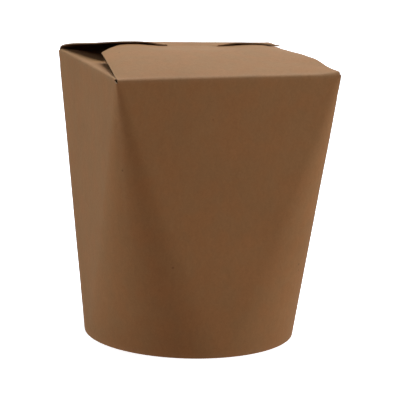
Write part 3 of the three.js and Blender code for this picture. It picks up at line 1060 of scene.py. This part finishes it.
@dataclass(frozen=True)
class FibreTone:
    """The tone and relief of kraft pulp: cloudy formation, long fibres, fine grain and rare dark flecks.

    Scales are in cells for each metre.
    """

    group_name: str = "kraft_fibre"
    detail: float = 3.0
    cloud_scale: float = 38.0
    bend_scale: float = 260.0
    bend_shift: float = 0.006
    streak_scale: float = 700.0
    streak_stretch: tuple[float, float, float] = (1.0, 1.0, 0.3)
    streak_roughness: float = 0.6
    grain_scale: float = 1500.0
    grain_roughness: float = 0.7
    grain_relief: float = 0.6
    fleck_scale: float = 150.0
    fleck_edge: tuple[float, float] = (0.05, 0.09)
    fleck_rarity: tuple[float, float] = (0.80, 0.86)

    def build(self) -> bpy.types.ShaderNodeTree:
        """Makes the node group, once.

        Returns:
            The group, with the outputs Tone, Fleck and Height.
        """
        known = bpy.data.node_groups.get(self.group_name)
        if known:
            return known
        tree = bpy.data.node_groups.new(self.group_name, "ShaderNodeTree")
        face = tree.interface
        face.new_socket(name="Vector", in_out="INPUT", socket_type="NodeSocketVector")
        for name, value in (("Cloud", 0.5), ("Streak", 0.5), ("Grain", 0.5)):
            face.new_socket(name=name, in_out="INPUT", socket_type="NodeSocketFloat").default_value = value
        for name in ("Tone", "Fleck", "Height"):
            face.new_socket(name=name, in_out="OUTPUT", socket_type="NodeSocketFloat")
        sketch = ShaderSketch(tree)
        given = sketch.add("NodeGroupInput").outputs
        point = given["Vector"]
        cloud = sketch.noise(point, self.cloud_scale, self.detail)
        bend = sketch.add("ShaderNodeTexNoise", {"Vector": point, "Scale": self.bend_scale}).outputs["Color"]
        inputs = {0: bend, 1: (self.bend_shift,) * 3, 2: point}
        bent = sketch.add("ShaderNodeVectorMath", inputs, operation="MULTIPLY_ADD").outputs["Vector"]
        inputs = {"Vector": bent, "Scale": self.streak_stretch}
        drawn = sketch.add("ShaderNodeMapping", inputs).outputs["Vector"]
        streak = sketch.noise(drawn, self.streak_scale, self.detail, self.streak_roughness)
        grain = sketch.noise(point, self.grain_scale, self.detail, self.grain_roughness)
        parts = []
        for value, name in ((cloud, "Cloud"), (streak, "Streak"), (grain, "Grain")):
            parts.append(sketch.math("MULTIPLY", sketch.math("SUBTRACT", value, 0.5), given[name]))
        tone = sketch.math("ADD", sketch.math("ADD", parts[0], parts[1]), parts[2])
        inputs = {"Vector": point, "Scale": self.fleck_scale}
        cells = sketch.add("ShaderNodeTexVoronoi", inputs, feature="F1").outputs
        near = sketch.remap(cells["Distance"], self.fleck_edge, (1.0, 0.0))
        chance = sketch.add("ShaderNodeSeparateColor", {"Color": cells["Color"]}).outputs["Red"]
        fleck = sketch.math("MULTIPLY", near, sketch.remap(chance, self.fleck_rarity, (0.0, 1.0)))
        fine = sketch.math("MULTIPLY", grain, self.grain_relief)
        height = sketch.math("ADD", fine, sketch.math("MULTIPLY", streak, 1.0 - self.grain_relief))
        sketch.add("NodeGroupOutput", {"Tone": tone, "Fleck": fleck, "Height": height})
        return tree


@dataclass(frozen=True)
class BoardFinish:
    """The finish of one face of the board."""

    name: str
    color: tuple[float, float, float]
    light_fibre_and_highlight: tuple[float, float, float]
    roughness: float
    cloud: float = 0.35
    streak: float = 0.45
    grain: float = 0.5
    contrast: float = 0.9
    tone_spread: float = 0.28
    patch_scale: float = 130.0
    patch_detail: float = 2.0
    patch_edge: float = 0.12
    warm: tuple[float, float, float] = (1.025, 0.99, 0.965)
    cool: tuple[float, float, float] = (0.975, 1.01, 1.035)
    fleck: float = 0.55
    fleck_shade: float = 0.35
    relief: float = 0.25
    relief_depth: float = 0.00006
    # How far scuffed places turn the pale fibre colour, which also paints a highlight along the folds and
    # edges.
    wear_and_highlight: float = 0.12
    wear_and_highlight_break: float = 0.25
    rough_spread: float = 0.06
    rough_tone: float = 0.4
    ior: float = 1.45
    gloss: float = 0.3
    sheen: float = 0.0
    sheen_roughness: float = 0.5

    def build(self) -> bpy.types.Material:
        """Makes the material.

        Returns:
            A material on Object coordinates, with fibres, flecks, scuffing with a painted highlight, and
            relief.
        """
        material = bpy.data.materials.new(self.name)
        material.use_nodes = True
        sketch = ShaderSketch(material.node_tree)
        place = sketch.add("ShaderNodeTexCoord").outputs["Object"]
        inputs = {"Vector": place, "Cloud": self.cloud, "Streak": self.streak, "Grain": self.grain}
        fibre = sketch.add("ShaderNodeGroup", inputs, node_tree=FibreTone().build()).outputs
        given, span, spread = fibre["Tone"], 0.5 / self.contrast, self.tone_spread
        tone = sketch.remap(given, (-span, span), (1.0 - spread, 1.0 + spread))
        clouds = sketch.noise(place, self.patch_scale, self.patch_detail)
        patch = sketch.remap(clouds, (0.5 - self.patch_edge, 0.5 + self.patch_edge), (0.0, 1.0))
        hue = sketch.blend(patch, (*self.warm, 1.0), (*self.cool, 1.0))
        tinted = sketch.blend(1.0, (*self.color, 1.0), hue, "MULTIPLY")
        base = sketch.blend(1.0, tinted, tone, "MULTIPLY")
        dark = tuple(channel * self.fleck_shade for channel in self.color)
        specks = sketch.math("MULTIPLY", fibre["Fleck"], self.fleck)
        flecked = sketch.blend(specks, base, (*dark, 1.0))
        # Pale fibre colour along the folds and edges: scuffed board and a painted highlight.
        worn_and_highlighted = sketch.add("ShaderNodeAttribute", attribute_name=WEAR_AND_HIGHLIGHT_LAYER).outputs["Fac"]
        broken = sketch.remap(given, (-self.wear_and_highlight_break, self.wear_and_highlight_break), (0.5, 1.0))
        amount = sketch.math("MULTIPLY", sketch.math("MULTIPLY", worn_and_highlighted, broken), self.wear_and_highlight)
        ends = (self.roughness + self.rough_spread, self.roughness - self.rough_spread)
        bump = {"Strength": self.relief, "Distance": self.relief_depth, "Height": fibre["Height"]}
        inputs = {
            "Base Color": sketch.blend(amount, flecked, (*self.light_fibre_and_highlight, 1.0)),
            "Roughness": sketch.remap(given, (-self.rough_tone, self.rough_tone), ends),
            "Normal": sketch.add("ShaderNodeBump", bump).outputs["Normal"],
            "IOR": self.ior,
            "Specular IOR Level": self.gloss,
        }
        if self.sheen:
            inputs["Sheen Weight"] = self.sheen
            inputs["Sheen Roughness"] = self.sheen_roughness
            inputs["Sheen Tint"] = (*self.light_fibre_and_highlight, 1.0)
        sketch.fill(material.node_tree.nodes["Principled BSDF"], inputs)
        return material


KRAFT = (0.36, 0.166, 0.0567)
# The inner face is a darker brown than the outer one, partly to paint the shade inside the carton.
KRAFT_INSIDE_SHADED = (0.30, 0.15, 0.065)
KRAFT_CUT = (0.42, 0.25, 0.13)
# Pale fibre of scuffed board, also the painted highlight on folds and edges, and the sheen's tint.
PALE_FIBRE_AND_HIGHLIGHT = (0.56, 0.37, 0.22)


def board_materials() -> list[bpy.types.Material]:
    """Makes the finishes of the board.

    Returns:
        The outer face, the inner face and the cut edge, in the order of BoardFace.
    """
    outer = BoardFinish("kraft_outer", KRAFT, PALE_FIBRE_AND_HIGHLIGHT, roughness=0.72, sheen=0.05)
    # The inner face's darker brown is partly painted shade.
    inner = BoardFinish("kraft_inner", KRAFT_INSIDE_SHADED, PALE_FIBRE_AND_HIGHLIGHT, roughness=0.45, wear_and_highlight=0.0)
    edge = BoardFinish("kraft_cut_edge", KRAFT_CUT, PALE_FIBRE_AND_HIGHLIGHT, roughness=0.85, wear_and_highlight=0.0, relief=0.5)
    return [outer.build(), inner.build(), edge.build()]


def placed(name: str, data: bpy.types.ID) -> bpy.types.Object:
    """Adds an object to the scene.

    Args:
        name: Its name.
        data: Its mesh, light or camera.

    Returns:
        The object.
    """
    thing = bpy.data.objects.new(name, data)
    bpy.context.scene.collection.objects.link(thing)
    return thing


def finish_piece(
    mesh: bmesh.types.BMesh,
    name: str,
    materials: list[bpy.types.Material],
    node: str,
    thickness: float = 0.0,
) -> bpy.types.Object:
    """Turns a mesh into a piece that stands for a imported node.

    Args:
        mesh: The shape, in metres. It is used up.
        name: The piece's name.
        materials: Its materials, in the order of BoardFace.
        node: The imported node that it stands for.
        thickness: For a sheet one layer thick, the board that is added inside it, in metres.

    Returns:
        The finished object.
    """
    data = bpy.data.meshes.new(name)
    mesh.to_mesh(data)
    mesh.free()
    for material in materials:
        data.materials.append(material)
    piece = placed(name, data)
    if thickness:
        board = piece.modifiers.new("board", "SOLIDIFY")
        board.thickness = thickness
        board.offset = -1.0
        board.use_even_offset = True
        board.use_quality_normals = True
        board.material_offset = BoardFace.INNER.value
        board.material_offset_rim = BoardFace.CUT_EDGE.value
        graph = bpy.context.evaluated_depsgraph_get()
        solid = bpy.data.meshes.new_from_object(piece.evaluated_get(graph), depsgraph=graph)
        piece.modifiers.clear()
        piece.data = solid
        bpy.data.meshes.remove(data)
        solid.name = name
    piece.data.shade_smooth()
    piece.data.set_sharp_from_angle(angle=SHARP_EDGE)
    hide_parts(node)
    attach(piece, BODY)
    LOG.info("%s: %d faces", name, len(piece.data.polygons))
    return piece


@dataclass(frozen=True)
class AreaLight:
    """One soft light of the studio."""

    name: str
    place: tuple[float, float, float]
    aim: tuple[float, float, float]
    size: tuple[float, float]
    power: float
    color: tuple[float, float, float]

    def build(self) -> bpy.types.Object:
        """Hangs the light and turns it to its aim.

        Returns:
            The light.
        """
        data = bpy.data.lights.new(self.name, "AREA")
        data.shape = "RECTANGLE"
        data.size, data.size_y = self.size
        data.energy = self.power
        data.color = self.color
        light = placed(self.name, data)
        light.location = self.place
        toward = Vector(self.aim) - Vector(self.place)
        light.rotation_euler = toward.to_track_quat("-Z", "Y").to_euler()
        light.visible_camera = False
        return light


@dataclass
class Studio:
    """The pale floor, the lights and the camera of the photograph's view."""

    azimuth: float = math.radians(-18.984)
    elevation: float = math.radians(12.300)
    roll: float = math.radians(1.5832)
    distance: float = 0.785
    aim_height: float = 0.05369
    aim_right: float = 0.00327
    lens: float = 176.04
    sensor: float = 36.0
    clip: tuple[float, float] = (0.05, 50.0)
    floor_half: float = 6.0
    floor_cells: int = 8
    floor_shown: tuple[float, float, float] = (0.95, 0.95, 0.95)
    floor_color: tuple[float, float, float] = (0.14, 0.124, 0.106)
    floor_light: tuple[float, float, float] = (0.453, 0.385, 0.378)
    floor_glow: tuple[float, float, float] = (0.85, 0.85, 0.85)
    floor_roughness: float = 0.9
    floor_gloss: float = 0.1
    world_light: float = 0.01
    world_shown: float = 1.1

    def camera(self) -> bpy.types.Object:
        """Places the camera.

        Returns:
            The camera.
        """
        flat = math.cos(self.elevation)
        across, along = math.cos(self.azimuth), math.sin(self.azimuth)
        back = Vector((along * flat, -across * flat, math.sin(self.elevation)))
        right = Vector((across, along, 0.0))
        up = back.cross(right)
        target = Vector((0.0, 0.0, self.aim_height)) + right * self.aim_right
        turned_right = right * math.cos(self.roll) + up * math.sin(self.roll)
        turned_up = up * math.cos(self.roll) - right * math.sin(self.roll)
        data = bpy.data.cameras.new("camera")
        data.sensor_width = self.sensor
        data.lens = self.lens
        data.clip_start, data.clip_end = self.clip
        camera = placed("camera", data)
        frame = Matrix((turned_right, turned_up, back)).transposed().to_4x4()
        frame.translation = target + back * self.distance
        camera.matrix_world = frame
        bpy.context.scene.camera = camera
        return camera

    def floor(self) -> bpy.types.Object:
        """Lays the floor, a pale sheet that glows evenly as a light table does.

        Returns:
            The floor, which is no part of the carton.
        """
        mesh = bmesh.new()
        cells = self.floor_cells
        bmesh.ops.create_grid(mesh, x_segments=cells, y_segments=cells, size=self.floor_half)
        data = bpy.data.meshes.new("floor")
        mesh.to_mesh(data)
        mesh.free()
        material = bpy.data.materials.new("pale_floor")
        material.use_nodes = True
        nodes = material.node_tree.nodes
        sketch = ShaderSketch(material.node_tree)
        is_seen = sketch.add("ShaderNodeLightPath").outputs["Is Camera Ray"]
        inputs = {
            "Base Color": sketch.blend(is_seen, (*self.floor_color, 1.0), (*self.floor_shown, 1.0)),
            "Emission Color": sketch.blend(is_seen, (*self.floor_light, 1.0), (*self.floor_glow, 1.0)),
            "Emission Strength": 1.0,
            "Roughness": self.floor_roughness,
            "Specular IOR Level": self.floor_gloss,
        }
        shader = nodes["Principled BSDF"]
        sketch.fill(shader, inputs)
        below = sketch.add("ShaderNodeNewGeometry").outputs["Backfacing"]
        clear = sketch.add("ShaderNodeBsdfTransparent").outputs["BSDF"]
        inputs = {"Fac": below, 1: shader.outputs["BSDF"], 2: clear}
        chosen = sketch.add("ShaderNodeMixShader", inputs).outputs["Shader"]
        sketch.fill(nodes["Material Output"], {"Surface": chosen})
        data.materials.append(material)
        floor = placed("floor", data)
        return floor

    def world(self) -> None:
        """Lights the surroundings evenly, and shows them white."""
        world = bpy.data.worlds.new("studio")
        bpy.context.scene.world = world
        world.use_nodes = True
        sketch = ShaderSketch(world.node_tree)
        is_seen = sketch.add("ShaderNodeLightPath").outputs["Is Camera Ray"]
        strength = sketch.remap(is_seen, (0.0, 1.0), (self.world_light, self.world_shown))
        inputs = {"Strength": strength, "Color": (1.0, 1.0, 1.0, 1.0)}
        sketch.fill(world.node_tree.nodes["Background"], inputs)

    def lights(self) -> None:
        """Hangs a broad light above, one low behind, one at the left and a near one at the right."""
        middle = (0.0, 0.0, 0.06)
        places = (
            ("overhead", (0.35, 0.3, 1.25), (1.2, 1.2), 23.4, (0.797, 0.882, 1.0)),
            ("backdrop", (0.7, 2.0, 0.6), (2.4, 1.1), 10.6, (0.916, 1.0, 0.989)),
            ("left_side", (-1.5, 0.55, 0.6), (0.9, 0.9), 12.4, (0.701, 0.876, 1.0)),
            ("right_side", (0.42, -0.25, 0.14), (0.15, 0.25), 0.858, (0.822, 0.921, 1.0)),
        )
        for name, place, size, power, color in places:
            AreaLight(name, place, middle, size, power, color).build()

    def build(self) -> None:
        """Sets up the whole studio."""
        scene = bpy.context.scene
        scene.view_settings.view_transform = "Standard"
        scene.view_settings.look = "None"
        self.camera()
        self.floor()
        self.world()
        self.lights()


def main() -> None:
    """Builds the studio and dresses the carton."""
    logging.basicConfig(level=logging.INFO)
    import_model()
    Studio().build()
    sizes = CartonSizes.from_frame()
    materials = board_materials()
    blank = FoldedBlank(sizes)
    finish_piece(blank.build(), blank.name, materials, "carton", sizes.board * MM)
    hem = BaseHem(sizes)
    finish_piece(hem.build(), hem.name, materials, "carton")
    disc = BaseDisc(sizes)
    finish_piece(disc.build(), disc.name, materials, "base_disc")


if __name__ == "__main__":
    main()
